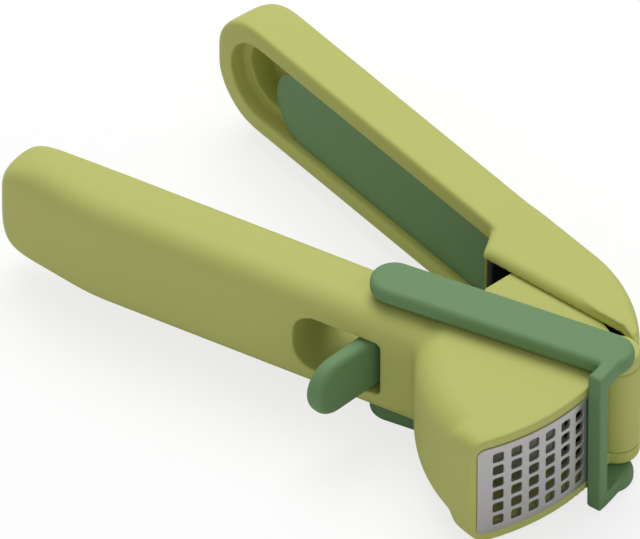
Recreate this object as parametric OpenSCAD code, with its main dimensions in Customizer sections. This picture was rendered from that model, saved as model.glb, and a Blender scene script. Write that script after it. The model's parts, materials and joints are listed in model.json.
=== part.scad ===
// Garlic press whose plunger sweeps through a curved chamber, with a trigger-worked scraper.
// Frame: millimetres, +Z up.  The press lies on its side.  The origin is where the axis of the
// handle hinge meets the plane that the press rests on.  X runs along the main handle, with the
// grip toward -X, and Y runs across to the plunger handle.  Every module draws its piece about
// the press's middle plane, and the last lines lift it by mid_z.

/* [Main handle] */
// Distance from the hinge axis to the end of the grip
grip_reach = 182; // [165:1:182]
// Width of the grip in the swing plane
grip_w = 21.6; // [20:0.1:25]
// Height of the grip along the hinge axis
grip_h = 34; // [30:0.5:35.5]
// Rounding of the grip's long edges
grip_round = 7; // [4:0.5:9]
// Length of the window that the trigger swings into
window_len = 26.5; // [24:0.5:32]
// Height of the trigger window
window_h = 18; // [15:0.5:20]
// Distance from the pivot axis to the front edge of the trigger window
window_front = 2.2; // [1:0.2:4]

/* [Head] */
// Height of the head along the hinge axis
head_h = 35.6; // [34:0.2:42]
// Rounding of the head's outer edges
head_round = 5; // [2:0.5:7]
// Radius of the chamber's curved wall about the hinge axis
chamber_r = 50.4; // [46:0.2:51]
// Thickness of the chamber's curved wall
chamber_wall = 3.2; // [2.4:0.1:4.2]
// Height of the chamber between its two side walls
chamber_h = 25.6; // [20:0.2:26]
// Thickness of the cheeks that stand up beside the mouth
cheek_t = 1.8; // [1.4:0.1:2.4]
// Distance from the hinge axis back to the end of the cheeks
cheek_back = 44; // [40:0.5:46]
// Height of the cheeks' back corner above the hinge axis
cheek_rise = 16.6; // [14:0.1:16.6]

/* [Plate] */
// Outer radius of the perforated plate about the pivot axis
plate_r = 63.5; // [62:0.1:66]
// Sheet thickness of the plate
plate_t = 1; // [0.8:0.1:1.4]
// Height of the plate
plate_h = 29.6; // [27:0.2:31]
// Arc of the plate about the pivot axis, in degrees
plate_arc = 35.4; // [33:0.2:36]
// Angle from the X axis to the plate's edge nearest the hinge, in degrees
plate_start = 4.6; // [4:0.2:6]
// Columns of holes
hole_cols = 6; // [4:1:6]
// Rows of holes
hole_rows = 6; // [4:1:6]
// Side of a hole
hole_size = 3.1; // [2:0.1:3.4]
// Spacing of the rows along the hinge axis
hole_pitch = 4.4; // [3.8:0.1:4.4]
// Spacing of the columns, in degrees about the pivot axis
hole_step = 4.94; // [4.2:0.02:5]

/* [Hinge] */
// Radius of the hinge barrel
barrel_r = 6.3; // [5.6:0.1:6.8]
// Height of the middle knuckle
knuckle_h = 27.4; // [26.4:0.2:28.6]
// Diameter of the hinge pin
pin_d = 4.5; // [3.5:0.1:5]
// Angle of the plunger handle above the main handle, in degrees
handle_angle = 21; // [19:0.5:24]
// Swing from here until the press is closed, in degrees
close_swing = 20; // [18:0.5:20]

/* [Plunger handle] */
// Distance from the hinge axis to the end of the plunger handle
lever_reach = 175; // [160:1:190]
// Distance from the hinge axis to the plunger handle's outer face
lever_back = 20.7; // [20:0.1:24]
// Distance from the hinge axis to the trough's open side
lever_open = 5.2; // [4.5:0.1:6.5]
// Thickness of the trough's floor
lever_floor = 3.2; // [2.4:0.1:4]
// Thickness of the trough's side walls
lever_wall = 5.6; // [4.4:0.1:6.4]
// Rounding of the plunger handle's long edges
lever_round = 4; // [2.5:0.5:4.5]
// Distance from the hinge axis to the bulkhead that ends the trough
bulkhead_u = 54.5; // [52:0.5:57]
// Thickness of the bulkhead
bulkhead_t = 1.8; // [1.4:0.1:2.4]

/* [Scraper and trigger] */
// Distance from the hinge axis back to the pivot axis
pivot_back = 62.1; // [60:0.1:64]
// Distance that the pivot axis lies below the hinge axis
pivot_drop = 9.7; // [8.5:0.1:11]
// Half width of the scraper arms
arm_r = 6.6; // [6:0.1:7.2]
// Thickness of the scraper arms
arm_t = 5.4; // [4:0.1:6]
// Distance from the pivot axis to the centre of the arms' front ends
arm_len = 63.2; // [62:0.1:65]
// Angle of the arms from the X axis, in degrees
arm_angle = 3.6; // [3:0.2:4.5]
// Thickness of the blade, measured out from the pivot axis
blade_t = 4.4; // [3:0.1:4.8]
// Arc of the blade about the pivot axis, in degrees
blade_arc = 3; // [2.6:0.1:4]
// Diameter of the pivot axle
axle_d = 4; // [3:0.1:4.6]
// Reach of the trigger from the pivot axis to its tip
trigger_reach = 31.8; // [29:0.2:33]
// Thickness of the trigger's fin
trigger_t = 5; // [4:0.2:6]
// Angle of the trigger below the -X direction, in degrees
trigger_angle = 75.4; // [72:0.2:78]
// Radius of the trigger's hub
hub_r = 5.2; // [4.8:0.1:5.4]
// Wire diameter of the return spring
spring_wire = 0.9; // [0.6:0.1:1]

/* [Cleaning tool] */
// Length of the cleaning tool
tool_len = 95; // [85:1:100]
// Thickness of the cleaning tool
tool_t = 3; // [2.4:0.1:3.6]
// Depth of the tool's face below the trough's open side
tool_drop = 2; // [1.4:0.1:2.6]
// Width of the ledges that the tool rests on
ledge_w = 2.4; // [1.8:0.1:3]

/* [Fits] */
// Gap between faces that slide past each other
slide_gap = 0.3; // [0.2:0.05:0.4]
// Radial gap of a running bore on its pin
run_gap = 0.05; // [0.02:0.01:0.08]
// Gap round a seated insert
seat_gap = 0.1; // [0.05:0.05:0.2]

/* [Hidden] */

$fn = 64;
leaf_green = "#BCC069";
deep_green = "#6B8F60";
steel = "#C0BAB8";
black = "#2A2823";

// Levels above the middle plane, each half of a height
head_half = head_h / 2;
grip_half = grip_h / 2;
chamber_half = chamber_h / 2;
cheek_half = chamber_half + cheek_t;
knuckle_half = knuckle_h / 2;
window_half = window_h / 2;
plate_half = plate_h / 2;
arm_in = head_half + slide_gap;
arm_out = arm_in + arm_t;
mid_z = arm_out;

// Places and radii in the swing plane
px = -pivot_back;
py = -pivot_drop;
head_r = chamber_r + chamber_wall;
rim_r = plate_r - slide_gap;
seat_r = plate_r - plate_t;
front_r = seat_r - 1.5;
plate_near_y = py - plate_r * sin(plate_start);
mouth_low_y = plate_near_y - 2.6;
step_angle = close_swing - 8.5;
bush_wall = 1.2;
bush_bore_d = axle_d + 2 * run_gap;
hub_half = window_half - slide_gap;
window_round = 7;
pocket_r = hub_r + slide_gap + 0.4;
hub_pin_d = 1.5;
hub_pin_z = -hub_half / 2;
axle_half = arm_in + 3;
blade_r = plate_r + slide_gap;
blade_end = -4.4;
shoulder_end = 2;
lip_r = plate_r + 0.15;
lip_t = 1.2;
lip_arc = 1.2;
lip_end = blade_end - (blade_arc - lip_arc) / 2;
spring_low = 2.4;
spring_h = 5.4;
spring_turns = 4.4;
spring_core_r = axle_d / 2 + 1;
spring_r = spring_core_r + 0.3 + spring_wire / 2;
spring_tail = 0.8;
big = 400;

// Radius of the plunger's tip and of its face, with the press closed
plunger_r = chamber_r - slide_gap - 0.1;
plunger_half = chamber_half - slide_gap;
pad_r = seat_r - slide_gap - 0.1;
plunger_face_r = front_r - slide_gap - 0.1;
paddle_back_angle = -112;
rib_t = 2;
rib_count = 3;
liner_t = 1.8;
liner_low = 0.4;

// The plunger handle's walls pass outside the cheeks
lever_half = head_half;
lever_in = cheek_half + slide_gap;
trough_half = lever_half - lever_wall;
floor_v = lever_back - lever_floor;
step_u = bulkhead_u - 1.6;
step_v = -2.8;
nose_r = 51;
nose_u = 34;
bush_r = pin_d / 2 + run_gap + 1;
tool_u = bulkhead_u + bulkhead_t + slide_gap;
tool_v = lever_open + tool_drop;
ledge_v = tool_v + tool_t;

// Screws that hold the plunger's root
screw_u = 16.5;
screw_z = 7;
screw_d = 2.4;
screw_head_d = 4.6;
screw_head_h = 1.8;
screw_seat_v = 10;
screw_len = 6.2;

// Places a piece in the plunger handle's own axes: x out along it, y to its outer face
module on_lever() rotate([0, 0, 180 - handle_angle]) mirror([0, 1, 0]) children();
// Places a piece about the pivot axis
module at_pivot() translate([px, py, 0]) children();
// A cylinder centred on the middle plane
module mid_cyl(r, half) translate([0, 0, -half]) cylinder(r = r, h = 2 * half);
// A block centred on the middle plane, from one corner to the other
module mid_box(x0, x1, y0, y1, half) translate([x0, y0, -half]) cube([x1 - x0, y1 - y0, 2 * half]);
// A disc whose rim is rounded
module round_disc(r, half, edge) rotate_extrude() {
    translate([0, -half]) square([r - edge, 2 * half]);
    translate([0, edge - half]) square([r, 2 * (half - edge)]);
    for (side = [-1, 1]) translate([r - edge, side * (half - edge)]) circle(edge);
}
// A ring sector about the pivot axis, from angle a0 to a1
module pivot_sector(r0, r1, a0, a1, half) at_pivot() intersection() {
    difference() {
        mid_cyl(r1, half);
        mid_cyl(r0, half + 1);
    }
    translate([0, 0, -half]) linear_extrude(2 * half)
        polygon([[0, 0], 2 * r1 * [cos(a0), sin(a0)], 2 * r1 * [cos(a1), sin(a1)]]);
}

// ---- Main handle: grip, neck, chamber, cheeks and hinge lugs in one moulding ----

// The rounded grip, which narrows where it runs into the head
module grip() {
    tip_r = grip_w / 2;
    top = -grip_round;
    low = grip_round - grip_w;
    side = grip_half - grip_round;
    hull() {
        for (s = [-1, 1]) {
            translate([tip_r - grip_reach, -tip_r, s * (grip_half - tip_r)]) sphere(tip_r, $fn = 32);
            for (at = [[22 - grip_reach, top], [px - 1, top], [px + 11, top - 5],
                       [22 - grip_reach, low], [px + 16, low]])
                translate([at[0], at[1], s * side]) sphere(grip_round, $fn = 32);
        }
    }
}
// The half plane under the line that the plunger handle's walls come down to
module under_step(half) rotate([0, 0, step_angle]) mid_box(-big, big, -big, barrel_r, half);
// The head's block, round the chamber
module head_block() intersection() {
    round_disc(head_r, head_half, head_round);
    at_pivot() round_disc(rim_r, head_half, 1.5);
    under_step(head_half);
}
// The cheeks that stand up beside the mouth
module cheeks() intersection() {
    translate([0, 0, -cheek_half]) linear_extrude(2 * cheek_half)
        polygon([[-cheek_back, -20], [-cheek_back, cheek_rise - 2], [2 - cheek_back, cheek_rise],
                 [0, cheek_rise], [0, -20]]);
    at_pivot() mid_cyl(rim_r, cheek_half);
    // The inside of the plunger handle's nose, with the press closed
    rotate([0, 0, close_swing]) on_lever() at_nose() mid_cyl(nose_r - lever_floor - 2 * slide_gap, cheek_half);
}
module chamber_hollow() {
    intersection() {
        mid_cyl(chamber_r, chamber_half);
        at_pivot() mid_cyl(front_r, chamber_half);
    }
    intersection() {
        mid_cyl(chamber_r, chamber_half);
        at_pivot() mid_cyl(plate_r + 1, chamber_half);
        mid_box(-big, big, -big, mouth_low_y, chamber_half);
    }
}
module trigger_window() {
    corner = window_round;
    back = px + window_front - window_len;
    for (s = [-1, 1]) translate([back + corner, 1, s * (window_half - corner)])
        rotate([90, 0, 0]) cylinder(r = corner, h = grip_w + 2);
    mid_box(back, px + window_front, -grip_w - 1, 1, window_half - corner);
    mid_box(back + corner, px + window_front, -grip_w - 1, 1, window_half);
}
module main_handle() color(leaf_green) difference() {
    union() {
        grip();
        head_block();
        cheeks();
        mid_cyl(barrel_r, head_half);
    }
    chamber_hollow();
    mid_cyl(barrel_r + slide_gap, knuckle_half + run_gap);
    mid_cyl(pin_d / 2, head_half + 1);
    pivot_sector(seat_r, plate_r + 2, -plate_start - plate_arc - 0.1, 0.1 - plate_start,
                 plate_half + seat_gap);
    trigger_window();
    at_pivot() mid_cyl(pocket_r, window_half);
    at_pivot() mid_cyl(bush_bore_d / 2 + bush_wall, grip_half + 1);
}

module press_plate() color(steel) difference() {
    pivot_sector(seat_r, plate_r, -plate_start - plate_arc, -plate_start, plate_half);
    first = -plate_start - plate_arc / 2 - (hole_cols - 1) / 2 * hole_step;
    for (c = [0 : hole_cols - 1], r = [0 : hole_rows - 1])
        at_pivot() rotate([0, 0, first + c * hole_step])
            translate([seat_r - 1, -hole_size / 2, (r - (hole_rows - 1) / 2) * hole_pitch - hole_size / 2])
                cube([plate_t + 2, hole_size, hole_size]);
}

module hinge_pin() color(steel) mid_cyl(pin_d / 2, head_half - 0.4);

module pivot_bushes() color(black) at_pivot() for (s = [0, 1]) mirror([0, 0, s]) difference() {
    translate([0, 0, window_half]) cylinder(d = bush_bore_d + 2 * bush_wall, h = grip_half - window_half);
    translate([0, 0, window_half - 1]) cylinder(d = bush_bore_d, h = grip_half);
}

// ---- Plunger handle: a trough that ends in the hinge knuckle ----

// Outline of the front part, from the bulkhead round the nose to the barrel
module lever_front_outline() {
    nose_end = 138;
    polygon(concat(
        [[step_u, step_v], [step_u + 6, lever_open], [step_u + 6, lever_back], [nose_u, lever_back]],
        [for (a = [90 : 4 : nose_end]) [nose_u + nose_r * cos(a), lever_back - nose_r + nose_r * sin(a)]],
        [[0, barrel_r - 0.8], [barrel_r, barrel_r + 0.6]]));
}
module at_nose() translate([nose_u, lever_back - nose_r, 0]) children();
module lever_front() intersection() {
    translate([0, 0, -lever_half]) linear_extrude(2 * lever_half) lever_front_outline();
    union() {
        at_nose() round_disc(nose_r, lever_half, lever_round);
        mid_box(nose_u, step_u + 6, step_v - 1, lever_back - lever_round, lever_half);
    }
}
// The long trough-shaped part, whose edges are rounded
module lever_long_part() {
    r = lever_round;
    tip_r = 6.5;
    z = lever_half - r;
    hull() for (s = [-1, 1]) {
        for (at = [[nose_u, lever_open + r], [nose_u, lever_back - r],
                   [lever_reach - 30, lever_back - r], [lever_reach - 14, lever_open + r]])
            translate([at[0], at[1], s * z]) sphere(r, $fn = 32);
        translate([lever_reach - tip_r, lever_open + tip_r + 0.4, s * (z - 6)]) sphere(tip_r, $fn = 32);
    }
}
module trough() {
    round_u = lever_reach - 6 - trough_half;
    start_u = tool_u - slide_gap;
    mid_box(start_u, round_u, -1, ledge_v, trough_half);
    mid_box(start_u, round_u, -1, floor_v, trough_half - ledge_w);
    translate([round_u, -1, 0]) rotate([-90, 0, 0]) cylinder(r = trough_half, h = floor_v + 1);
}
// Places the screws through the plunger's root into the plunger handle's back
module at_screws(v) for (s = [-1, 1]) translate([screw_u, v, s * screw_z]) rotate([-90, 0, 0]) children();

// The space inside the front part, whose back follows the nose
module front_hollow(half) {
    intersection() {
        mid_box(-barrel_r - 2, nose_u, -20, floor_v, half);
        at_nose() mid_cyl(nose_r - lever_floor, half);
    }
    mid_box(nose_u - 0.5, bulkhead_u, -20, floor_v, half);
}

module plunger_handle() color(leaf_green) on_lever() difference() {
    union() {
        difference() {
            union() {
                lever_front();
                lever_long_part();
            }
            front_hollow(lever_in);
            for (s = [0, 1]) mirror([0, 0, s]) translate([0, 0, knuckle_half])
                cylinder(r = barrel_r + slide_gap, h = lever_half);
            trough();
        }
        mid_cyl(barrel_r, knuckle_half);
    }
    mid_cyl(bush_r, knuckle_half + 1);
    at_screws(screw_seat_v) cylinder(d = screw_d, h = screw_len);
}

module hinge_bushes() color(black) for (s = [0, 1]) mirror([0, 0, s]) difference() {
    translate([0, 0, 0.5]) cylinder(r = bush_r, h = knuckle_half - 0.5);
    cylinder(r = pin_d / 2 + run_gap, h = knuckle_half + 1);
}

// ---- Plunger: a ribbed paddle on a root that is screwed into the plunger handle ----

// The paddle is drawn with the press closed, then swung open to the rest pose
module swung_open() rotate([0, 0, -close_swing]) children();
module paddle_block(face_r, tip_r, half) intersection() {
    mid_cyl(tip_r, half);
    at_pivot() mid_cyl(face_r, half);
    rotate([0, 0, paddle_back_angle]) mid_box(-2, big, -2, big, half);
}
module paddle() difference() {
    paddle_block(plunger_face_r, plunger_r, plunger_half);
    bay = (2 * plunger_half - (rib_count + 1) * rib_t) / rib_count;
    for (i = [0 : rib_count - 1]) translate([0, 0, -plunger_half + rib_t + i * (bay + rib_t)])
        translate([0, 0, bay / 2]) difference() {
            paddle_block(plunger_face_r - rib_t - 1, plunger_r - rib_t, bay / 2);
            mid_cyl(barrel_r + 10, bay);
        }
}
module plunger_root() on_lever() {
    root_half = plunger_half - 0.4;
    intersection() {
        translate([0, 0, -root_half]) linear_extrude(2 * root_half)
            polygon([[2.2, -6.5], [2.4, -17], [6.5, -17], [13, -4], [20.5, 2], [20.5, floor_v],
                     [barrel_r + 0.5, floor_v], [barrel_r + 0.5, 0]]);
        at_nose() mid_cyl(nose_r - lever_floor, plunger_half);
    }
    // The liner along the plunger handle's back, with a wall before the bulkhead
    wall_u = bulkhead_u - seat_gap;
    mid_box(nose_u - 0.5, wall_u, floor_v - liner_t, floor_v, root_half);
    mid_box(wall_u - liner_t, wall_u, liner_low, floor_v, root_half);
    intersection() {
        at_nose() difference() {
            mid_cyl(nose_r - lever_floor, root_half);
            mid_cyl(nose_r - lever_floor - liner_t, plunger_half);
        }
        mid_box(screw_u, nose_u, 0, floor_v, root_half);
    }
}
module plunger() color(black) difference() {
    union() {
        swung_open() paddle();
        plunger_root();
    }
    mid_cyl(barrel_r + slide_gap, plunger_half + 1);
    on_lever() {
        at_screws(-20) cylinder(d = screw_head_d + 0.4, h = screw_seat_v + 20);
        at_screws(screw_seat_v - 1) cylinder(d = screw_d, h = screw_len);
    }
}
module plunger_pad() color(steel) swung_open() intersection() {
    pivot_sector(plunger_face_r, pad_r, -plate_start - plate_arc, -plate_start, plunger_half);
    mid_cyl(plunger_r, plunger_half);
    mid_box(-big, big, -big, mouth_low_y - slide_gap, plunger_half);
}
module plunger_screws() color(steel) on_lever() {
    at_screws(screw_seat_v) cylinder(d = screw_d, h = screw_len);
    at_screws(screw_seat_v - screw_head_h) cylinder(d = screw_head_d, h = screw_head_h);
}

// ---- Scraper frame and trigger, which turn together about the pivot axis ----

module scraper_arm() at_pivot() rotate([0, 0, arm_angle]) translate([0, 0, arm_in]) {
    cylinder(r = arm_r, h = arm_t);
    translate([arm_len, 0, 0]) cylinder(r = arm_r, h = arm_t);
    translate([0, -arm_r, 0]) cube([arm_len, 2 * arm_r, arm_t]);
}
module scraper_frame() color(deep_green) difference() {
    union() {
        for (s = [0, 1]) mirror([0, 0, s]) scraper_arm();
        // The blade, with a shoulder at each end that carries it beside the arms
        difference() {
            pivot_sector(blade_r, blade_r + blade_t, blade_end - blade_arc, shoulder_end, arm_out);
            pivot_sector(blade_r - 1, blade_r + blade_t + 1, blade_end, shoulder_end + 1, arm_in + 0.4);
        }
    }
    at_pivot() mid_cyl(axle_d / 2, axle_half);
    pivot_sector(blade_r - 1, lip_r + lip_t, lip_end - lip_arc, lip_end, plate_half);
}
module scraper_lip() color(black)
    pivot_sector(lip_r, lip_r + lip_t, lip_end - lip_arc, lip_end, plate_half);

module trigger() color(deep_green) at_pivot() difference() {
    union() {
        mid_cyl(hub_r, hub_half);
        rotate([0, 0, trigger_angle - 180]) {
            fin_half = hub_half - 0.2;
            tip = trigger_reach - fin_half;
            mid_box(1, tip, -trigger_t / 2, trigger_t / 2, fin_half);
            translate([tip, trigger_t / 2, 0]) rotate([90, 0, 0]) cylinder(r = fin_half, h = trigger_t);
        }
    }
    mid_cyl(axle_d / 2, hub_half + 1);
    hub_pin_body();
    // The groove that the return spring sits in
    translate([0, 0, spring_low]) difference() {
        cylinder(r = spring_r + 2 * spring_wire, h = spring_h);
        cylinder(r = spring_core_r, h = spring_h);
    }
}
module pivot_axle() color(steel) at_pivot() difference() {
    mid_cyl(axle_d / 2, axle_half);
    hub_pin_body();
}
module hub_pin_body() translate([0, 0, hub_pin_z]) rotate([0, 0, trigger_angle])
    rotate([0, 90, 0]) cylinder(d = hub_pin_d, h = 2 * (hub_r - 0.6), center = true);
module hub_pin() color(steel) at_pivot() hub_pin_body();

// One point of the return spring's centre line, a share t of the way along it
function spring_point(t) = let (a = 360 * spring_turns * t, r = spring_r + spring_tail * max(0, t * 12 - 11))
    [r * cos(a), r * sin(a), spring_low + 0.1 + spring_wire / 2 + t * (spring_h - 0.2 - spring_wire)];
function ring_point(t, k) = let (a = 360 * spring_turns * t, c = spring_point(t), w = spring_wire / 2)
    c + w * [cos(k) * cos(a), cos(k) * sin(a), sin(k)];
module return_spring() color(steel) at_pivot() {
    sides = 8;
    rings = 80;
    points = [for (i = [0 : rings], k = [0 : sides - 1]) ring_point(i / rings, 360 * k / sides)];
    walls = [for (i = [0 : rings - 1], k = [0 : sides - 1])
        [i * sides + k, i * sides + (k + 1) % sides,
         (i + 1) * sides + (k + 1) % sides, (i + 1) * sides + k]];
    polyhedron(points, concat(walls, [[for (k = [sides - 1 : -1 : 0]) k],
                                      [for (k = [0 : sides - 1]) rings * sides + k]]));
}

// ---- Cleaning tool: a paddle kept in the plunger handle's trough ----

module cleaning_tool() color(deep_green) on_lever() {
    half = trough_half - slide_gap;
    mid_box(tool_u, tool_u + tool_len - half, tool_v, ledge_v, half);
    translate([tool_u + tool_len - half, tool_v, 0]) rotate([-90, 0, 0]) cylinder(r = half, h = tool_t);
}

module placed() translate([0, 0, mid_z]) children();
placed() main_handle();
placed() press_plate();
placed() hinge_pin();
placed() pivot_bushes();
placed() plunger_handle();
placed() hinge_bushes();
placed() plunger();
placed() plunger_pad();
placed() plunger_screws();
placed() scraper_frame();
placed() scraper_lip();
placed() trigger();
placed() pivot_axle();
placed() hub_pin();
placed() return_spring();
placed() cleaning_tool();
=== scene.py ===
"""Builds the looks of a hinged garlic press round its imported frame.

The mouldings are modelled in millimetres about the press's middle plane, with the hinge axis at
the origin, and brought to metres and to their place when each piece is finished.
"""
import json
import math
from types import SimpleNamespace

import bmesh
import bpy
import numpy as np
from bpy.props import FloatProperty, FloatVectorProperty, PointerProperty
from mathutils import Matrix, Vector


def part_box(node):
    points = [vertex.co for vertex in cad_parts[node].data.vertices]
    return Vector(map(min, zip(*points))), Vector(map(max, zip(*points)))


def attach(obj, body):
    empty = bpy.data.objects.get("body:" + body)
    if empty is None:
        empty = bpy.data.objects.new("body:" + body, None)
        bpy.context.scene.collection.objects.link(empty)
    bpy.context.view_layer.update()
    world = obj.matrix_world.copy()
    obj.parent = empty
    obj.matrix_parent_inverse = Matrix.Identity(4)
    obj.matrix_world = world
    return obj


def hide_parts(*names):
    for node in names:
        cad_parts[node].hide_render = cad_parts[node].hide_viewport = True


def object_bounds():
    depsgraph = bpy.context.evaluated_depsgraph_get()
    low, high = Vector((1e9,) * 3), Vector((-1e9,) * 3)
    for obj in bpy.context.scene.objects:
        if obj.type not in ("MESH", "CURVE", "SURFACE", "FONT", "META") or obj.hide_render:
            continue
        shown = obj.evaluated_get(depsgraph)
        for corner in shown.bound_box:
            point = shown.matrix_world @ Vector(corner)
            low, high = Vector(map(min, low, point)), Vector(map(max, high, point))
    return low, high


bl_info = {
    "name": "Garlic press",
    "version": (1, 0, 0),
    "blender": (4, 5, 0),
    "location": "View3D > Sidebar > Press",
    "description": "Builds a garlic press with a scraper, a trigger and a cleaning tool",
    "category": "Add Mesh",
}

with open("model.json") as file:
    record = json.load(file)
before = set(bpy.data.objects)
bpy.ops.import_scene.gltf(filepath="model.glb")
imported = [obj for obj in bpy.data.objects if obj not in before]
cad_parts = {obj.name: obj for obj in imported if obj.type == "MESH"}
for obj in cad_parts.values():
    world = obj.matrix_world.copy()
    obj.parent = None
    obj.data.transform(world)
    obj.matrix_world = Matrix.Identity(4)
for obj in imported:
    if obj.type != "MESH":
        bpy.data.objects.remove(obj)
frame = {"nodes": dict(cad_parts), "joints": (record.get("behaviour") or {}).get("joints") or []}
CAD_BOX = [list(corner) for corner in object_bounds()]

MM = 0.001


def joint(name):
    return next(j for j in frame["joints"] if j["name"] == name)


def reach(node):
    """A node's lowest and highest corner in millimetres, about the middle plane."""
    low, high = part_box(node)
    return (low - MIDDLE) / MM, (high - MIDDLE) / MM


# Places that the frame gives: the middle plane, the scraper's pivot and the plunger handle's axes
MIDDLE = Vector(joint("handle_hinge")["pos_m"])
PIVOT = (Vector(joint("scraper_pivot")["pos_m"]) - MIDDLE) / MM
LEVER_IN = Vector(joint("tool_lift")["axis"]).normalized()
LEVER_ALONG = Vector((LEVER_IN.y, -LEVER_IN.x, 0))
# Lever axes: u along the plunger handle, v to its outer face, and z the other way up
LEVER = Matrix((LEVER_ALONG, -LEVER_IN, (0, 0, -1))).transposed().to_4x4()
AT_PIVOT = Matrix.Translation(PIVOT)

HEAD_HALF = reach("main_handle")[1].z
GRIP_END = reach("main_handle")[0].x
ARM_OUT = reach("scraper_frame")[1].z
PLATE_HALF = reach("press_plate")[1].z
KNUCKLE_HALF = reach("hinge_bushes")[1].z
PIN_R = reach("hinge_pin")[1].x
AXLE_R = reach("pivot_axle")[1].x - PIVOT.x
AXLE_HALF = reach("pivot_axle")[1].z

# Clearances: of a pin that turns and of an insert in its seat
RUN_GAP = 0.05
SEAT_GAP = 0.1
BUSH_WALL = 1.2
# Swing that closes the press, and the slope that the plunger handle's walls come down to, in degrees
CLOSE_SWING = 20
STEP_ANGLE = 11.5
# The plate about the pivot in degrees, and its holes
PLATE_START = 4.6
PLATE_ARC = 35.4
PLATE_MIDDLE = -PLATE_START - PLATE_ARC / 2
HOLE_STEP = 4.94
HOLES_ACROSS = 6
# The plunger handle's own axes: the middle and radius of its nose, its bulkhead and its trough
NOSE_U = 34
NOSE_R = 51
BULKHEAD_U = 54.5
TOOL_U = 56.6
TOOL_LEN = 95
TOOL_DROP = 2
LEDGE_W = 2.4
# The scraper: the arms' slope, and the blade and its shoulders about the pivot, in degrees
ARM_ANGLE = 3.6
BLADE_END = -4.4
BLADE_ARC = 3
SHOULDER_END = 2
TRIGGER_ANGLE = 75.4
# The spring: its lowest and highest levels, clearance on its core, turns and bent tail
SPRING_LOW = 2.4
SPRING_TOP = 7.8
SPRING_CLEARANCE = 0.3
SPRING_TURNS = 4.4
SPRING_TAIL = 0.8


def length(name, description, millimetres):
    """A size that a user may change, kept in metres."""
    return FloatProperty(name=name, description=description, default=millimetres * MM,
                         min=0, unit="LENGTH", subtype="DISTANCE")


def colour(name, description, rgb):
    return FloatVectorProperty(name=name, description=description, default=rgb, size=3,
                               min=0, max=1, subtype="COLOR")


class PressSizes(bpy.types.PropertyGroup):
    grip_w: length("Grip width", "Width of the grip in the swing plane", 21.6)
    grip_h: length("Grip height", "Height of the grip along the hinge axis", 34)
    grip_round: length("Grip rounding", "Rounding of the grip's long edges", 7)
    grip_end_round: length("Grip end rounding", "Rounding of the grip's end, seen from the side", 16.5)
    head_round: length("Head rounding", "Rounding between the head's top and its outer side", 8.5)
    rim_round: length("Rim rounding", "Rounding of the head's edge close to the plate", 4)
    chamber_r: length("Chamber radius", "Radius of the chamber's curved wall about the hinge", 50.4)
    chamber_wall: length("Chamber wall", "Thickness of the chamber's curved wall", 3.2)
    chamber_half: length("Chamber half height", "Height of the chamber above the middle plane", 12.8)
    cheek_t: length("Cheek thickness", "Thickness of the cheeks beside the mouth", 1.8)
    cheek_back: length("Cheek reach", "Distance from the hinge back to the cheeks' end", 44)
    barrel_r: length("Barrel radius", "Radius of the hinge barrel", 6.3)
    slide_gap: length("Sliding gap", "Gap between faces that slide past each other", 0.3)
    window_len: length("Window length", "Length of the trigger window", 26.5)
    window_half: length("Window half height", "Height of the trigger window above the middle", 9)
    window_front: length("Window front", "Distance from the pivot to the window's front edge", 2.2)
    window_round: length("Window rounding", "Rounding of the window's back corners", 7)
    plate_r: length("Plate radius", "Outer radius of the plate about the pivot", 63.5)
    plate_t: length("Plate thickness", "Sheet thickness of the plate", 1)
    plate_corner: length("Plate corner", "Rounding of the plate's corners", 2.7)
    hole_size: length("Hole size", "Side of a hole in the plate", 3.1)
    hole_corner: length("Hole corner", "Rounding of a hole's corners", 0.6)
    hole_pitch: length("Hole pitch", "Spacing of the rows of holes", 4.4)
    lever_back: length("Lever back", "Distance from the hinge to the plunger handle's outer face", 20.7)
    lever_open: length("Lever opening", "Distance from the hinge to the trough's open side", 5.2)
    lever_floor: length("Trough floor", "Thickness of the trough's floor", 3.2)
    lever_wall: length("Trough wall", "Thickness of the trough's side walls", 5.6)
    lever_round: length("Lever rounding", "Rounding of the plunger handle's back edges", 4)
    arm_r: length("Arm half width", "Half width of the scraper's arms", 6.6)
    arm_t: length("Arm thickness", "Thickness of the scraper's arms", 5.4)
    arm_len: length("Arm length", "Distance from the pivot to the arms' front ends", 63.2)
    arm_round: length("Arm rounding", "Rounding of the arms' outer edges", 1.8)
    blade_t: length("Blade thickness", "Thickness of the scraper's blade", 4.4)
    trigger_reach: length("Trigger reach", "Distance from the pivot to the trigger's tip", 31.8)
    trigger_t: length("Trigger thickness", "Thickness of the trigger's fin", 5)
    hub_r: length("Hub radius", "Radius of the trigger's hub", 5.2)
    tool_t: length("Tool thickness", "Thickness of the cleaning tool", 3)
    tool_dish: length("Tool dish", "Depth of the hollow in the cleaning tool's face", 0.7)
    spring_wire: length("Spring wire", "Wire diameter of the return spring", 0.9)
    voxel: length("Grain", "Size of the mesh cells that the mouldings are surfaced with", 0.42)


class PressFinish(bpy.types.PropertyGroup):
    leaf_green: colour("Leaf green", "Colour of the two handles", (0.41, 0.44, 0.078))
    deep_green: colour("Deep green", "Colour of the scraper, trigger and tool", (0.09, 0.208, 0.058))
    plate_steel: colour("Plate steel", "Colour of the perforated plate", (0.86, 0.82, 0.80))
    pin_steel: colour("Pin steel", "Colour of the pins and screws", (0.50, 0.49, 0.47))
    black_nylon: colour("Black nylon", "Colour of the plunger and bushes", (0.022, 0.021, 0.018))
    lip_rubber: colour("Lip rubber", "Colour of the scraper's rubber lip", (0.015, 0.02, 0.013))


def in_mm(group):
    """The sizes in millimetres, which the mesh code works in."""
    return SimpleNamespace(**{key: getattr(group, key) / MM for key in group.__annotations__})


# ---- Outlines ----

def ray(angle, distance=1.0):
    return Vector((math.cos(math.radians(angle)), math.sin(math.radians(angle)))) * distance


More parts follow.
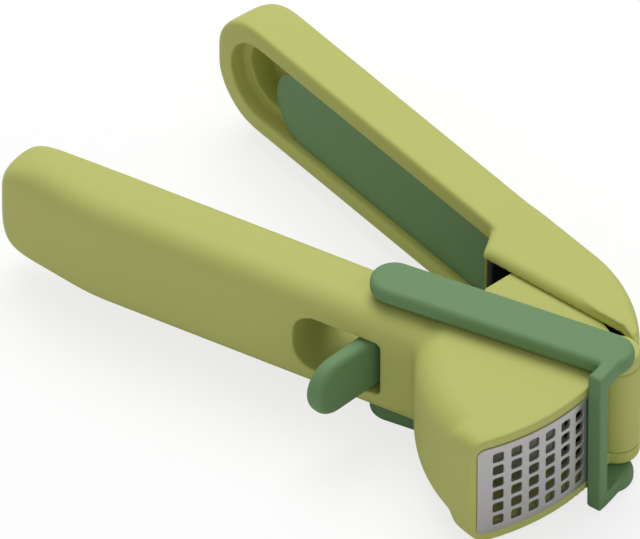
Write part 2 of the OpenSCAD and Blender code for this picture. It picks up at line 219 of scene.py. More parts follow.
def arc(centre, radius, start, end, steps=32):
    """Points along an arc from one angle to another, in degrees."""
    share = [i / steps for i in range(steps + 1)]
    return [Vector(centre[:2]) + ray(start + (end - start) * t, radius) for t in share]


def rounded(corners, steps=8):
    """A closed outline from (x, y, radius) corners, each rounded by its own arc."""
    outline = []
    for i, (x, y, radius) in enumerate(corners):
        here = Vector((x, y))
        if radius == 0:
            outline.append(here)
            continue
        back = (Vector(corners[i - 1][:2]) - here).normalized()
        ahead = (Vector(corners[(i + 1) % len(corners)][:2]) - here).normalized()
        half = back.angle(ahead) / 2
        centre = here + (back + ahead).normalized() * (radius / math.sin(half))
        start = here + back * (radius / math.tan(half)) - centre
        end = here + ahead * (radius / math.tan(half)) - centre
        turn = start.angle_signed(end)
        for k in range(steps + 1):
            outline.append(centre + Matrix.Rotation(-turn * k / steps, 2) @ start)
    return outline


def box_outline(x0, x1, y0, y1, radius=0, steps=8):
    return rounded([(x0, y0, radius), (x1, y0, radius), (x1, y1, radius), (x0, y1, radius)], steps)


# ---- Solids ----

def round_rim(bm, level, radius, segments=8):
    """Rounds the edges that lie in one level."""
    rim = [e for e in bm.edges if all(abs(v.co.z - level) < 1e-4 for v in e.verts)]
    bmesh.ops.bevel(bm, geom=rim, offset=radius, segments=segments, profile=0.5,
                    affect="EDGES", material=-1, clamp_overlap=False)


def lift(bm, grown, height):
    """Raises the new corners of an extrusion."""
    verts = [v for v in grown if isinstance(v, bmesh.types.BMVert)]
    bmesh.ops.translate(bm, vec=(0, 0, height), verts=verts)


def prism(outline, low, high, round_low=0, round_high=0):
    """An outline raised from one level to another, with rounded rims."""
    bm = bmesh.new()
    base = bm.faces.new([bm.verts.new((p[0], p[1], low)) for p in outline])
    grown = bmesh.ops.extrude_face_region(bm, geom=[base])["geom"]
    lift(bm, grown, high - low)
    bmesh.ops.recalc_face_normals(bm, faces=bm.faces)
    for level, radius in ((low, round_low), (high, round_high)):
        if radius:
            round_rim(bm, level, radius)
    return bm


def slab(outline, half, rim=0):
    return prism(outline, -half, half, rim, rim)


def disc(radius, low, high, round_low=0, round_high=0, steps=96):
    return prism(arc((0, 0), radius, 0, 360, steps)[:-1], low, high, round_low, round_high)


def moved(bm, matrix):
    bmesh.ops.transform(bm, matrix=matrix, verts=bm.verts)
    return bm


def standing(bm):
    """Turns a prism so that its outline's second axis points up and its first level faces +Y."""
    return moved(bm, Matrix.Rotation(math.radians(90), 4, "X"))


def sector(inner, outer, start, end, half):
    """A ring sector about the scraper's pivot."""
    outline = arc(PIVOT, outer, start, end) + arc(PIVOT, inner, end, start)
    return slab(outline, half)


def lathe(profile, steps=48):
    """A closed (radius, level) profile turned about the Z axis."""
    bm = bmesh.new()
    verts = [bm.verts.new((r, 0, z)) for r, z in profile]
    edges = [bm.edges.new((verts[i - 1], verts[i])) for i in range(len(verts))]
    bmesh.ops.spin(bm, geom=verts + edges, axis=(0, 0, 1), cent=(0, 0, 0), angle=math.tau,
                   steps=steps, use_merge=True)
    bmesh.ops.remove_doubles(bm, verts=bm.verts, dist=1e-4)
    bmesh.ops.recalc_face_normals(bm, faces=bm.faces)
    return bm


# ---- Blanks: objects that hold a piece while it is shaped ----

def blank(bm, name="blank"):
    mesh = bpy.data.meshes.new(name)
    bm.to_mesh(mesh)
    bm.free()
    thing = bpy.data.objects.new(name, mesh)
    bpy.context.scene.collection.objects.link(thing)
    return thing


def baked(thing):
    """Applies the object's modifiers."""
    shown = thing.evaluated_get(bpy.context.evaluated_depsgraph_get())
    mesh = bpy.data.meshes.new_from_object(shown)
    thing.modifiers.clear()
    thing.vertex_groups.clear()
    thing.data = mesh
    return thing


def shaped(thing, operation, *solids):
    """Adds (UNION), removes (DIFFERENCE) or keeps (INTERSECT) what the solids cover."""
    tools = [blank(bm, "tool") for bm in solids]
    for tool in tools:
        step = thing.modifiers.new("shape", "BOOLEAN")
        step.solver = "MANIFOLD"
        step.operation = operation
        step.object = tool
    baked(thing)
    for tool in tools:
        bpy.data.objects.remove(tool)
    if not thing.data.polygons:
        raise RuntimeError(f"{operation} left nothing of {thing.name}")
    return thing


def emptied(thing):
    """A blank's mesh as a solid again; the blank is removed."""
    bm = bmesh.new()
    bm.from_mesh(thing.data)
    bpy.data.objects.remove(thing)
    return bm


def surfaced(thing, voxel):
    """Rebuilds the surface as even cells, so that it can be softened."""
    step = thing.modifiers.new("surface", "REMESH")
    step.mode = "VOXEL"
    step.voxel_size = voxel
    return baked(thing)


def softened(thing, passes, share=None):
    """Relaxes the surface. share gives each point's part in it, from 0 to 1."""
    step = thing.modifiers.new("soften", "SMOOTH")
    step.factor = 0.5
    step.iterations = passes
    if share:
        count = len(thing.data.vertices)
        points = np.empty(count * 3, np.float32)
        thing.data.vertices.foreach_get("co", points)
        levels = np.rint(np.clip(share(*points.reshape(-1, 3).T), 0, 1) * 20).astype(int)
        group = thing.vertex_groups.new(name="share")
        for level in range(1, 21):
            chosen = np.flatnonzero(levels == level).tolist()
            if chosen:
                group.add(chosen, level / 20, "REPLACE")
        step.vertex_group = "share"
    return baked(thing)


def thinned(thing, triangles=190000):
    """Merges cells on the flatter stretches until the mesh is light enough."""
    count = sum(len(p.vertices) - 2 for p in thing.data.polygons)
    if count > triangles:
        step = thing.modifiers.new("thin", "DECIMATE")
        step.ratio = triangles / count
        baked(thing)
    return thing


def ramp(values, low, high):
    """0 below one value, 1 above the other and a smooth rise between."""
    t = np.clip((values - low) / (high - low), 0, 1)
    return t * t * (3 - 2 * t)


def finished(thing, name, body, slot, material, *nodes):
    """Brings a blank to metres and to its place, and hands it to its body."""
    thing.name = thing.data.name = name
    thing.data.transform(Matrix.Translation(MIDDLE) @ Matrix.Scale(MM, 4))
    thing.data.materials.clear()
    thing.data.materials.append(material)
    thing.data.shade_smooth()
    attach(thing, body)
    if nodes:
        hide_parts(*nodes)
    return thing


def crisp(thing, angle=35):
    """Keeps the edges sharp where faces meet at more than an angle."""
    thing.data.set_sharp_from_angle(angle=math.radians(angle))
    return thing


# ---- Materials ----

class Wire:
    """A node socket on which Python's arithmetic adds Math nodes."""

    def __init__(self, shader, socket):
        self.shader, self.socket = shader, socket

    def maths(self, operation, first, second):
        return self.shader.node("ShaderNodeMath", {"operation": operation}, {0: first, 1: second})

    def __add__(self, other):
        return self.maths("ADD", self, other)

    def __sub__(self, other):
        return self.maths("SUBTRACT", self, other)

    def __rsub__(self, other):
        return self.maths("SUBTRACT", other, self)

    def __mul__(self, other):
        return self.maths("MULTIPLY", self, other)

    __radd__ = __add__
    __rmul__ = __mul__


class Shader:
    """A material and the nodes that feed its Principled shader."""

    def __init__(self, name, **constants):
        self.material = bpy.data.materials.new(name)
        self.material.use_nodes = True
        self.tree = self.material.node_tree
        self.surface = self.tree.nodes["Principled BSDF"]
        for socket, value in constants.items():
            self.surface.inputs[socket.replace("_", " ")].default_value = value
        self.place = self.node("ShaderNodeTexCoord", out="Object")

    def node(self, kind, settings=None, inputs=None, out=0):
        made = self.tree.nodes.new(kind)
        for key, value in (settings or {}).items():
            setattr(made, key, value)
        for key, value in (inputs or {}).items():
            if isinstance(value, Wire):
                self.tree.links.new(value.socket, made.inputs[key])
            else:
                made.inputs[key].default_value = value
        return Wire(self, made.outputs[out])

    def noise(self, scale, detail=2.0, stretch=(1, 1, 1)):
        spot = self.node("ShaderNodeMapping", inputs={"Vector": self.place, "Scale": stretch})
        return self.node("ShaderNodeTexNoise",
                         inputs={"Vector": spot, "Scale": scale, "Detail": detail})

    def tinted(self, rgb, other, mask):
        """The first colour where the mask is 0 and the other where it is 1."""
        return self.node("ShaderNodeMix", {"data_type": "RGBA"},
                         {"Factor": mask, 6: (*rgb, 1), 7: (*other, 1)}, out=2)

    def feed(self, socket, wire):
        self.tree.links.new(wire.socket, self.surface.inputs[socket])

    def bump(self, height, strength, distance):
        normal = self.node("ShaderNodeBump", inputs={"Height": height, "Strength": strength,
                                                     "Distance": distance})
        self.feed("Normal", normal)


def shade(rgb, factor):
    return tuple(min(1, c * factor) for c in rgb)


def moulded(name, rgb, roughness, grain=0.12):
    """Satin moulded plastic: a faint eroded grain, and slow changes of tone and gloss."""
    shader = Shader(name, IOR=1.46, Diffuse_Roughness=0.2)
    cloud, speck = shader.noise(28), shader.noise(900, 3)
    tone = shader.tinted(shade(rgb, 0.965), shade(rgb, 1.035), cloud * 0.75 + speck * 0.25)
    shader.feed("Base Color", tone)
    shader.feed("Roughness", roughness - 0.05 + cloud * 0.06 + speck * 0.05)
    shader.bump(shader.noise(2600, 2) * 0.7 + shader.noise(700, 2) * 0.3, grain, 0.00006)
    return shader.material


def brushed(name, rgb, roughness, stretch):
    """Rolled and brushed steel, whose fine lines run along one way."""
    shader = Shader(name, Metallic=1.0)
    lines, cloud = shader.noise(1500, 4, stretch), shader.noise(60, 3)
    tone = shader.tinted(shade(rgb, 0.9), shade(rgb, 1.08), lines * 0.6 + cloud * 0.4)
    shader.feed("Base Color", tone)
    shader.feed("Roughness", roughness - 0.08 + lines * 0.12 + cloud * 0.06)
    shader.bump(lines, 0.12, 0.00002)
    return shader.material


def rubbery(name, rgb):
    """Matt rubber with a fine pitted skin."""
    shader = Shader(name, IOR=1.5)
    pits, cloud = shader.noise(2200, 3), shader.noise(150)
    shader.feed("Base Color", shader.tinted(rgb, shade(rgb, 1.5), cloud))
    shader.feed("Roughness", 0.6 + pits * 0.15)
    shader.bump(pits, 0.3, 0.00005)
    return shader.material


def material(name):
    """The named finish, made when it is first asked for."""
    made = bpy.data.materials.get(name)
    if made:
        return made
    rgb = tuple(getattr(bpy.context.scene.press_finish, name))
    if name in ("leaf_green", "deep_green"):
        return moulded(name, rgb, 0.5 if name == "leaf_green" else 0.42)
    if name == "black_nylon":
        return moulded(name, rgb, 0.5, 0.2)
    if name == "lip_rubber":
        return rubbery(name, rgb)
    if name == "plate_steel":
        return brushed(name, rgb, 0.42, (1, 1, 0.04))
    return brushed(name, rgb, 0.3, (0.2, 0.2, 1))


# ---- Main handle ----

def grip_solid(d):
    """The grip: rounded along its edges, round at its end, narrower where it meets the head."""
    half, low = d.grip_h / 2, -d.grip_w
    front, narrowing, tip = PIVOT.x + 18, PIVOT.x + 2, GRIP_END - 1.7
    plan = rounded([(tip, 0, 8.5), (tip + 2.5, low + 5.5, 8.5), (tip + 34, low, 60), (front, low, 0),
                    (front, -6.4, 0), (narrowing, 0, 4)], 20)
    side = rounded([(tip, half, d.grip_end_round), (tip, -half, d.grip_end_round),
                    (front + 1, -half, 0), (front + 1, half, 0)], 20)
    grip = blank(slab(plan, half, d.grip_round))
    return shaped(grip, "INTERSECT", standing(prism(side, -1, d.grip_w + 1)))


def head_outline(d, radius):
    """A plan disc about the hinge, cut off along the line that the plunger handle comes down to."""
    step = math.radians(STEP_ANGLE)
    top = Vector((-math.sin(step), math.cos(step))) * d.barrel_r
    along = Vector((math.cos(step), math.sin(step)))
    span = math.sqrt(radius ** 2 - d.barrel_r ** 2)
    start = math.degrees(math.atan2(*reversed(top - along * span)))
    end = math.degrees(math.atan2(*reversed(top + along * span)))
    return arc((0, 0), radius, start % 360, end + 360, 120)


def main_solid(d):
    """The grip and head as one soft solid, before anything is cut."""
    head_r = d.chamber_r + d.chamber_wall
    head = slab(head_outline(d, head_r), HEAD_HALF, d.head_round)
    rim = blank(slab(head_outline(d, head_r), HEAD_HALF, d.rim_round))
    shaped(rim, "INTERSECT", sector(d.plate_r - 9, d.plate_r + 20, -75, 30, HEAD_HALF + 1))
    solid = shaped(grip_solid(d), "UNION", head, emptied(rim))
    surfaced(solid, 2 * d.voxel)
    softened(solid, 26)
    return softened(solid, 60, lambda x, y, z: 1 - ramp(x, GRIP_END + 6, GRIP_END + 34))


def front_cutter(d):
    """What lies in front of the cylinder about the pivot that the head's face follows."""
    face_r = d.plate_r - d.slide_gap
    return slab(arc(PIVOT, face_r, 55, -80, 64) + [Vector((80, -90)), Vector((80, 90))], 30)


def cheeks(d):
    """The cheeks beside the mouth, with the hinge barrel at their front."""
    # The middle of the plunger handle's nose with the press closed, which the cheeks follow
    nose = LEVER @ Vector((NOSE_U, d.lever_back - NOSE_R, 0))
    closed = Matrix.Rotation(math.radians(CLOSE_SWING), 4, "Z") @ nose
    bow = arc(closed, NOSE_R - d.lever_floor - 2 * d.slide_gap, 100, 48, 40)
    bow = [p for p in bow if p.x > 2.6 - d.cheek_back and p.x < -3.6]
    outline = [(-d.cheek_back, -20), (-d.cheek_back, 7), *map(tuple, bow), (0, 0), (0, -20)]
    return slab(outline[::-1], d.chamber_half + d.cheek_t)


def chamber_cutters(d):
    """The hollow swept by the plunger, open at the top and through the plate."""
    front_r = d.plate_r - d.plate_t - 1.5
    near_y = PIVOT.y - d.plate_r * math.sin(math.radians(PLATE_START)) - 2.6
    whole = blank(disc(d.chamber_r, -d.chamber_half, d.chamber_half, steps=160))
    shaped(whole, "INTERSECT", moved(disc(front_r, -20, 20, steps=160), AT_PIVOT))
    mouth = blank(disc(d.chamber_r, -d.chamber_half, d.chamber_half, steps=160))
    shaped(mouth, "INTERSECT", moved(disc(d.plate_r + 1, -20, 20, steps=160), AT_PIVOT),
           slab(box_outline(-90, 90, -90, near_y), 20))
    return emptied(whole), emptied(mouth)


def plate_seat(d):
    """The recess that the plate is set in, with rounded corners."""
    seat_r, gap = d.plate_r - d.plate_t, SEAT_GAP
    arc_half = math.radians(PLATE_ARC / 2) * d.plate_r + gap
    corner = d.plate_corner + gap
    face = prism(box_outline(-arc_half, arc_half, -PLATE_HALF - gap, PLATE_HALF + gap, corner), 0, 4)
    for cut in np.linspace(-arc_half, arc_half, 25)[1:-1]:
        bmesh.ops.bisect_plane(face, geom=face.verts[:] + face.edges[:] + face.faces[:],
                               plane_co=(cut, 0, 0), plane_no=(1, 0, 0))
    wrap(face, seat_r, PLATE_MIDDLE, d.plate_r)
    return face


def wrap(bm, base_r, middle_angle, scale_r):
    """Bends a flat sheet about the pivot: x goes round, y up and z out from the axis."""
    for v in bm.verts:
        spot = ray(middle_angle + math.degrees(v.co.x / scale_r), base_r + v.co.z)
        v.co = (PIVOT.x + spot.x, PIVOT.y + spot.y, v.co.y)
    bmesh.ops.recalc_face_normals(bm, faces=bm.faces)


def window_cutter(d):
    front = PIVOT.x + d.window_front
    back = front - d.window_len
    outline = rounded([(back, -d.window_half, d.window_round), (front, -d.window_half, 1.6),
                       (front, d.window_half, 1.6), (back, d.window_half, d.window_round)], 16)
    return standing(prism(outline, -1, d.grip_w + 1))


class PRESS_OT_main_handle(bpy.types.Operator):
    """Builds the main handle: grip, head, chamber, cheeks and hinge lugs"""
    bl_idname = "press.main_handle"
    bl_label = "Main handle"

    def execute(self, context):
        d = in_mm(context.scene.press_sizes)
        handle = main_solid(d)
        shaped(handle, "DIFFERENCE", front_cutter(d))
        shaped(handle, "UNION", cheeks(d), disc(d.barrel_r, -HEAD_HALF, HEAD_HALF, 0.9, 0.9))
        bush_r = AXLE_R + RUN_GAP + BUSH_WALL
        shaped(handle, "DIFFERENCE", *chamber_cutters(d), plate_seat(d), window_cutter(d),
               disc(d.barrel_r + d.slide_gap, -KNUCKLE_HALF - RUN_GAP, KNUCKLE_HALF + RUN_GAP),
               disc(PIN_R, -HEAD_HALF - 1, HEAD_HALF - 0.4),
               moved(disc(d.hub_r + d.slide_gap + 0.4, -d.window_half, d.window_half), AT_PIVOT),
               moved(disc(bush_r, -d.grip_h / 2 - 1, d.grip_h / 2 + 1), AT_PIVOT))
        surfaced(handle, d.voxel)
        softened(handle, 5)
        thinned(handle)
        finished(handle, "main_handle_moulding", "main_body", "leaf_green", material("leaf_green"),
                 "main_handle")
        return {"FINISHED"}


# ---- Plate ----

class PRESS_OT_plate(bpy.types.Operator):
    """Builds the perforated plate: a thin sheet with rounded square holes, bent about the pivot"""
    bl_idname = "press.plate"
    bl_label = "Perforated plate"

    def execute(self, context):
        d = in_mm(context.scene.press_sizes)
        column_pitch = math.radians(HOLE_STEP) * d.plate_r
        arc_half = math.radians(PLATE_ARC / 2) * d.plate_r
        sheet = bmesh.new()
        half_holes = HOLES_ACROSS // 2
        lines = range(-half_holes, half_holes + 1)
        columns = [-arc_half] + [column_pitch * i for i in lines] + [arc_half]
        rows = [-PLATE_HALF] + [d.hole_pitch * i for i in lines] + [PLATE_HALF]
        grid = [[sheet.verts.new((x, y, 0)) for x in columns] for y in rows]
        for r in range(HOLES_ACROSS + 2):
            for c in range(HOLES_ACROSS + 2):
                sheet.faces.new((grid[r][c], grid[r][c + 1], grid[r + 1][c + 1], grid[r + 1][c]))
        cells = []
        for cell in sheet.faces:
            middle = cell.calc_center_median()
            if abs(middle.x) < half_holes * column_pitch and abs(middle.y) < half_holes * d.hole_pitch:
                cells.append(cell)
        self.punch(sheet, cells, d)
        corners = [v for v in sheet.verts if abs(abs(v.co.x) - arc_half) < 1e-3
                   and abs(abs(v.co.y) - PLATE_HALF) < 1e-3]
        bmesh.ops.bevel(sheet, geom=corners, offset=d.plate_corner, segments=8, profile=0.5,
                        affect="VERTICES", material=-1)
        for cut in np.linspace(-arc_half, arc_half, 73)[1:-1]:
            bmesh.ops.bisect_plane(sheet, geom=sheet.verts[:] + sheet.edges[:] + sheet.faces[:],
                                   plane_co=(cut, 0, 0), plane_no=(1, 0, 0), dist=1e-4)
        solid = bmesh.ops.extrude_face_region(sheet, geom=sheet.faces[:])["geom"]
        lift(sheet, solid, d.plate_t)
        bmesh.ops.recalc_face_normals(sheet, faces=sheet.faces)
        sharp = [e for e in sheet.edges if len(e.link_faces) == 2 and e.calc_face_angle() > 1]
        outer = [e for e in sharp if all(v.co.z > d.plate_t - 1e-4 for v in e.verts)]
        bmesh.ops.bevel(sheet, geom=outer, offset=0.16, segments=3, profile=0.5,
                        affect="EDGES", material=-1)
        wrap(sheet, d.plate_r - d.plate_t, PLATE_MIDDLE, d.plate_r)
        finished(crisp(blank(sheet)), "perforated_plate", "main_body", "plate_steel",
                 material("plate_steel"), "press_plate")
        return {"FINISHED"}

    def punch(self, sheet, cells, d):
        """Opens a rounded square hole in the middle of each cell."""
        for cell in cells:
            middle = cell.calc_center_median()
            inner = bmesh.ops.extrude_discrete_faces(sheet, faces=[cell])["faces"][0]
            corners = inner.verts[:]
            for v in corners:
                side = v.co - middle
                v.co = middle + Vector((math.copysign(d.hole_size / 2, side.x),
                                        math.copysign(d.hole_size / 2, side.y), 0))
            bmesh.ops.delete(sheet, geom=[inner], context="FACES_ONLY")
            bmesh.ops.bevel(sheet, geom=corners, offset=d.hole_corner, segments=4, profile=0.5,
                            affect="VERTICES", material=-1)


# ---- Plunger handle ----

def lever_solid(d):
    """The plunger handle before it is hollowed, in its own axes."""
    tip = lever_tip()
    nose = (NOSE_U, d.lever_back - NOSE_R)
    front = arc(nose, NOSE_R, 138, 90, 24) + [Vector((58.9, d.lever_back)), Vector((58.9, d.lever_open)),
                                         Vector((52.9, -2.8)), Vector((d.barrel_r, d.barrel_r + 0.6)),
                                         Vector((0, d.barrel_r - 0.8))]
    side = rounded([(tip, HEAD_HALF, 16), (tip, -HEAD_HALF, 16),
                    (30, -HEAD_HALF, 0), (30, HEAD_HALF, 0)], 24)
    plan = rounded([(tip, d.lever_back, 13), (tip, d.lever_open, 1.5), (29, d.lever_open, 0),
                    (29, d.lever_back, 0)], 20)
    long_part = prism([(p[0], -p[1]) for p in side][::-1], -d.lever_back, -d.lever_open,
                      d.lever_round, 1.1)
    lever = shaped(blank(standing(long_part)), "INTERSECT", slab(plan, HEAD_HALF + 1))
    return shaped(lever, "UNION", slab(front, HEAD_HALF, 3.0))


def trough_outline(start, end, half, short):
    """A slot that is square at its start and round at its end."""
    return rounded([(start, -half, 0), (end, -half, half - short),
                    (end, half, half - short), (start, half, 0)], 24)


def lever_tip():
    """The plunger handle's reach from the hinge, along its own axis."""
    corners = frame["nodes"]["plunger_handle"].data.vertices
    return max((v.co - MIDDLE).dot(LEVER_ALONG) for v in corners) / MM


class PRESS_OT_plunger_handle(bpy.types.Operator):
    """Builds the plunger handle: a trough that ends in the hinge knuckle"""
    bl_idname = "press.plunger_handle"
    bl_label = "Plunger handle"

    def execute(self, context):
        d = in_mm(context.scene.press_sizes)
        lever = lever_solid(d)
        surfaced(lever, 1.5 * d.voxel)
        softened(lever, 60, lambda u, v, z: ramp(v, 9, 16) * ramp(u, 20, 60))
        softened(lever, 6)
        wall_in = d.chamber_half + d.cheek_t + d.slide_gap
        floor_v = d.lever_back - d.lever_floor
        trough_half = HEAD_HALF - d.lever_wall
        round_u = lever_tip() - 6 - trough_half
        start_u, ledge_v = TOOL_U - d.slide_gap, d.lever_open + TOOL_DROP + d.tool_t
        opening = trough_outline(start_u, round_u + trough_half, trough_half, 0.05)
        deep = trough_outline(start_u, round_u + trough_half - LEDGE_W, trough_half - LEDGE_W, 0.1)
        nose = Matrix.Translation((NOSE_U, d.lever_back - NOSE_R, 0))
        hollow = blank(slab(box_outline(-d.barrel_r - 2, NOSE_U, -20, floor_v), wall_in))
        shaped(hollow, "INTERSECT", moved(disc(NOSE_R - d.lever_floor, -20, 20, steps=160), nose))
        relief_r = d.barrel_r + d.slide_gap
        shaped(lever, "DIFFERENCE", emptied(hollow),
               slab(box_outline(NOSE_U - 0.5, BULKHEAD_U, -20, floor_v), wall_in),
               disc(relief_r, KNUCKLE_HALF, 30), disc(relief_r, -30, -KNUCKLE_HALF),
               standing(prism(opening, -ledge_v, 5)), standing(prism(deep, -floor_v, 5)))
        shaped(lever, "UNION", disc(d.barrel_r, -KNUCKLE_HALF, KNUCKLE_HALF, 0.3, 0.3))
        shaped(lever, "DIFFERENCE", disc(PIN_R + 1.05, -20, 20))
        lever.data.transform(LEVER)
        surfaced(lever, d.voxel)
        softened(lever, 5)
        thinned(lever)
        finished(lever, "plunger_handle_moulding", "plunger_lever", "leaf_green",
                 material("leaf_green"), "plunger_handle")
        return {"FINISHED"}


# ---- Scraper and trigger ----

def stadium(length_, half, steps=32):
    """An outline of two half circles joined by straight sides, from the origin along X."""
    return arc((0, 0), half, 90, 270, steps) + arc((length_, 0), half, -90, 90, steps)


class PRESS_OT_scraper(bpy.types.Operator):
    """Builds the scraper frame: two arms joined by the blade that sweeps the plate"""
    bl_idname = "press.scraper"
    bl_label = "Scraper frame"

    def execute(self, context):
        d = in_mm(context.scene.press_sizes)
        arm_in = ARM_OUT - d.arm_t
        turn = AT_PIVOT @ Matrix.Rotation(math.radians(ARM_ANGLE), 4, "Z")
        outline = stadium(d.arm_len, d.arm_r)
        upper = moved(prism(outline, arm_in, ARM_OUT, 2.2, d.arm_round), turn)
        lower = moved(prism(outline, -ARM_OUT, -arm_in, d.arm_round, 2.2), turn)
        blade_r = d.plate_r + d.slide_gap
        blade = sector(blade_r, blade_r + d.blade_t, BLADE_END - BLADE_ARC, SHOULDER_END, ARM_OUT)
        for level in (-ARM_OUT, ARM_OUT):
            round_rim(blade, level, 1.0)
        bar = shaped(blank(blade), "DIFFERENCE",
                     sector(blade_r - 1, blade_r + d.blade_t + 1, BLADE_END, SHOULDER_END + 1,
                            arm_in + 0.4))
        scraper = shaped(blank(upper), "UNION", lower, emptied(bar))
        shaped(scraper, "DIFFERENCE", moved(disc(AXLE_R, -AXLE_HALF, AXLE_HALF), AT_PIVOT),
               sector(blade_r - 1, d.plate_r + 1.35, BLADE_END - 2.1, BLADE_END - 0.9, PLATE_HALF))
        surfaced(scraper, 0.3)
        softened(scraper, 7)
        thinned(scraper, 150000)
        finished(scraper, "scraper_frame_moulding", "scraper", "deep_green", material("deep_green"),
                 "scraper_frame")
        return {"FINISHED"}


class PRESS_OT_trigger(bpy.types.Operator):
    """Builds the trigger: a rounded fin on a hub that turns the scraper"""
    bl_idname = "press.trigger"
    bl_label = "Trigger"

    def execute(self, context):
        d = in_mm(context.scene.press_sizes)
        half = d.window_half - d.slide_gap
        fin = standing(slab(stadium(d.trigger_reach - half, half - 0.2), d.trigger_t / 2, 1.9))
        turn = Matrix.Rotation(math.radians(TRIGGER_ANGLE - 180), 4, "Z")
        hub = disc(d.hub_r, -half, half, 0.6, 0.6)
        keep = moved(slab(box_outline(0, 60, -20, 20), 20), turn)
        trigger = shaped(blank(moved(fin, turn)), "INTERSECT", keep)
        shaped(trigger, "UNION", hub)
        core_r, wire = AXLE_R + 1, d.spring_wire
        outer_r = core_r + 0.75 + 2 * wire
        groove = lathe([(core_r, SPRING_LOW), (outer_r, SPRING_LOW), (outer_r, SPRING_TOP),
                        (core_r, SPRING_TOP)])
        shaped(trigger, "DIFFERENCE", disc(AXLE_R, -20, 20), groove)
        trigger.data.transform(AT_PIVOT)
        surfaced(trigger, 0.25)
        softened(trigger, 6)
        finished(trigger, "trigger_moulding", "scraper", "deep_green", material("deep_green"),
                 "trigger")
        return {"FINISHED"}


# ---- Cleaning tool ----

class PRESS_OT_cleaning_tool(bpy.types.Operator):
    """Builds the cleaning tool: a dished paddle kept in the trough"""
    bl_idname = "press.cleaning_tool"
    bl_label = "Cleaning tool"

    def execute(self, context):
        d = in_mm(context.scene.press_sizes)
        half = HEAD_HALF - d.lever_wall - d.slide_gap
        start, face_v = TOOL_U, d.lever_open + TOOL_DROP
        end = start + TOOL_LEN
        outline = arc((end - half, 0), half, -90, 90, 56)
        outline += [Vector((start, half)), Vector((start, -half))]
        tool = prism(outline, -face_v - d.tool_t, -face_v)
        round_rim(tool, -face_v - d.tool_t, 0.4, 3)
        face = max(tool.faces, key=lambda f: f.calc_center_median().z)
        steps = 6
        for i in range(steps):
            drop = d.tool_dish * (((i + 1) / steps) ** 0.6 - (i / steps) ** 0.6)
            bmesh.ops.inset_region(tool, faces=[face], thickness=1.5 if i else 0.5, depth=-drop)
        finished(crisp(blank(moved(standing(tool), LEVER)), 50), "cleaning_tool_moulding", "tool",
                 "deep_green", material("deep_green"), "cleaning_tool")
        return {"FINISHED"}


# ---- Inner pieces ----

def chamfered(radius, low, high, chamfer=0.3):
    """A turned pin with chamfered ends."""
    return lathe([(0, low), (radius - chamfer, low), (radius, low + chamfer), (radius, high - chamfer),
                  (radius - chamfer, high), (0, high)])


def soft_copy(node, voxel, passes):
    """A node's own shape with its edges softened, as a blank."""
    bm = bmesh.new()
    bm.from_mesh(frame["nodes"][node].data)
    bmesh.ops.remove_doubles(bm, verts=bm.verts, dist=1e-6)
    moved(bm, Matrix.Scale(1 / MM, 4) @ Matrix.Translation(-MIDDLE))
    return softened(surfaced(blank(bm), voxel), passes)


class PRESS_OT_inner_pieces(bpy.types.Operator):
    """Builds the pins and the spring, softens the plunger and finishes what the frame holds"""
    bl_idname = "press.inner_pieces"
    bl_label = "Inner pieces"

    def execute(self, context):
        d = in_mm(context.scene.press_sizes)
        steel, nylon = material("pin_steel"), material("black_nylon")
        pin = blank(chamfered(PIN_R, -HEAD_HALF + 0.4, HEAD_HALF - 0.4))
        finished(crisp(pin), "hinge_pin_turned", "main_body", "pin_steel", steel, "hinge_pin")
        plunger = thinned(soft_copy("plunger", 0.4, 3), 120000)
        finished(plunger, "plunger_moulding", "plunger_lever", "black_nylon", nylon, "plunger")
        self.spring(d, steel)
        for node, name in (("pivot_bushes", "black_nylon"), ("hinge_bushes", "black_nylon"),
                           ("plunger_pad", "plate_steel"), ("plunger_screws", "pin_steel"),
                           ("scraper_lip", "lip_rubber"), ("pivot_axle", "pin_steel"),
                           ("hub_pin", "pin_steel")):
            thing = frame["nodes"][node]
            thing.data.materials.clear()
            thing.data.materials.append(material(name))
        return {"FINISHED"}

    def spring(self, d, steel):
        """A coil of round wire round the axle."""
        wire_r, rings = d.spring_wire / 2, 132
        coil_r = AXLE_R + 1 + SPRING_CLEARANCE + wire_r
        low = SPRING_LOW + 0.1 + wire_r
        rise = SPRING_TOP - SPRING_LOW - 0.2 - d.spring_wire
        curve = bpy.data.curves.new("return_spring_coil", "CURVE")
        curve.dimensions, curve.bevel_depth, curve.bevel_resolution = "3D", wire_r, 3
        curve.use_fill_caps = True
        spline = curve.splines.new("POLY")
        spline.points.add(rings)
        for i, point in enumerate(spline.points):
            t = i / rings
            spot = ray(360 * SPRING_TURNS * t, coil_r + SPRING_TAIL * max(0, t * 12 - 11))
            point.co = (PIVOT.x + spot.x, PIVOT.y + spot.y, low + rise * t, 1)
        coil = bpy.data.objects.new("coil", curve)
        collection = bpy.context.scene.collection
        collection.objects.link(coil)
        shown = coil.evaluated_get(bpy.context.evaluated_depsgraph_get())
        mesh = bpy.data.meshes.new_from_object(shown)
        bpy.data.objects.remove(coil)
        thing = bpy.data.objects.new("spring", mesh)
        collection.objects.link(thing)
        finished(thing, "return_spring_coil", "scraper", "pin_steel", steel, "return_spring")


# ---- Stage ----

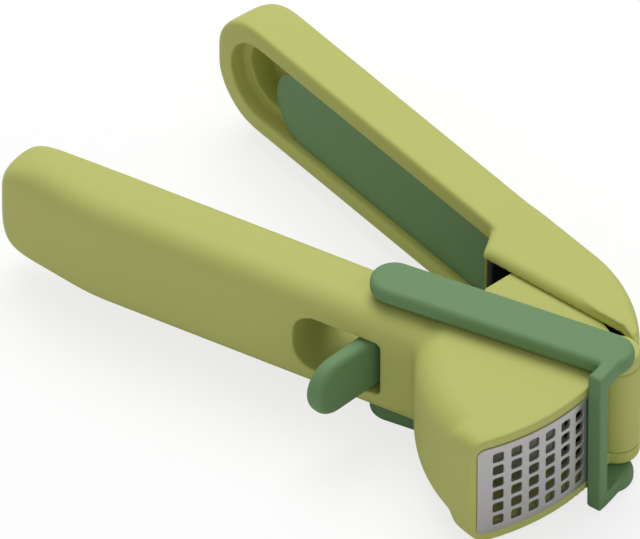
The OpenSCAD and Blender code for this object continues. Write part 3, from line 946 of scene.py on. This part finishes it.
class PRESS_OT_stage(bpy.types.Operator):
    """Sets the floor, the lights and the camera"""
    bl_idname = "press.stage"
    bl_label = "Stage"

    def execute(self, context):
        scene = context.scene
        floor = bmesh.new()
        bmesh.ops.create_circle(floor, cap_ends=True, segments=64, radius=8)
        moved(floor, Matrix.Translation((0, 0, CAD_BOX[0][2])))
        ground = blank(floor, "floor")
        paper = Shader("floor_paper", Roughness=0.9)
        paper.feed("Base Color", paper.tinted((0.86, 0.86, 0.86), (0.9, 0.9, 0.9), paper.noise(2)))
        seen = paper.node("ShaderNodeLightPath", out="Is Camera Ray")
        glow = paper.node("ShaderNodeEmission", inputs={"Color": (1, 1, 1, 1), "Strength": 1.05})
        mixed = paper.node("ShaderNodeMixShader", inputs={0: seen * 0.72, 2: glow})
        paper.tree.links.new(paper.surface.outputs[0], mixed.socket.node.inputs[1])
        paper.tree.links.new(mixed.socket, paper.tree.nodes["Material Output"].inputs["Surface"])
        ground.data.materials.append(paper.material)
        world = bpy.data.worlds.new("studio")
        world.use_nodes = True
        backdrop = world.node_tree.nodes["Background"]
        backdrop.inputs["Color"].default_value = (1, 1, 1, 1)
        backdrop.inputs["Strength"].default_value = 0.37
        scene.world = world
        target = Vector((-0.0935, 0.0053, MIDDLE.z))
        self.softbox("key", target, (-0.35, 0.55, 1.3), 1.1, 15)
        self.softbox("fill", target, (0.9, -0.7, 0.7), 0.9, 1.9)
        azimuth, elevation = math.radians(30), math.radians(42)
        distance, width = 6.5, 0.1699
        level = math.cos(elevation)
        away = Vector((math.sin(azimuth) * level, -math.cos(azimuth) * level, math.sin(elevation)))
        camera = bpy.data.objects.new("camera", bpy.data.cameras.new("camera"))
        camera.data.sensor_width = 36
        camera.data.lens = camera.data.sensor_width * distance / width
        camera.data.clip_end = 50
        camera.location = target + away * distance
        camera.rotation_mode = "QUATERNION"
        camera.rotation_quaternion = (-away).to_track_quat("-Z", "Y")
        scene.collection.objects.link(camera)
        scene.camera = camera
        scene.view_settings.view_transform = "Standard"
        return {"FINISHED"}

    def softbox(self, name, target, offset, size, power):
        light = bpy.data.lights.new(name, "AREA")
        light.shape, light.size, light.energy = "SQUARE", size, power
        lamp = bpy.data.objects.new(name, light)
        lamp.location = target + Vector(offset)
        lamp.rotation_mode = "QUATERNION"
        lamp.rotation_quaternion = (-Vector(offset)).to_track_quat("-Z", "Y")
        lamp.visible_camera = False
        bpy.context.scene.collection.objects.link(lamp)


OPERATORS = (PRESS_OT_main_handle, PRESS_OT_plate, PRESS_OT_plunger_handle, PRESS_OT_scraper,
             PRESS_OT_trigger, PRESS_OT_cleaning_tool, PRESS_OT_inner_pieces, PRESS_OT_stage)


class PRESS_PT_panel(bpy.types.Panel):
    """Lists the pieces and their sizes"""
    bl_idname = "PRESS_PT_panel"
    bl_label = "Garlic press"
    bl_space_type = "VIEW_3D"
    bl_region_type = "UI"
    bl_category = "Press"

    def draw(self, context):
        for operator in OPERATORS:
            self.layout.operator(operator.bl_idname)
        for group in (context.scene.press_sizes, context.scene.press_finish):
            for key in group.__annotations__:
                self.layout.prop(group, key)


CLASSES = (PressSizes, PressFinish, *OPERATORS, PRESS_PT_panel)


def register():
    for cls in CLASSES:
        bpy.utils.register_class(cls)
    bpy.types.Scene.press_sizes = PointerProperty(type=PressSizes)
    bpy.types.Scene.press_finish = PointerProperty(type=PressFinish)


def unregister():
    del bpy.types.Scene.press_sizes, bpy.types.Scene.press_finish
    for cls in reversed(CLASSES):
        bpy.utils.unregister_class(cls)


def main():
    register()
    for operator in OPERATORS:
        group, name = operator.bl_idname.split(".")
        getattr(getattr(bpy.ops, group), name)()


if __name__ == "__main__":
    main()
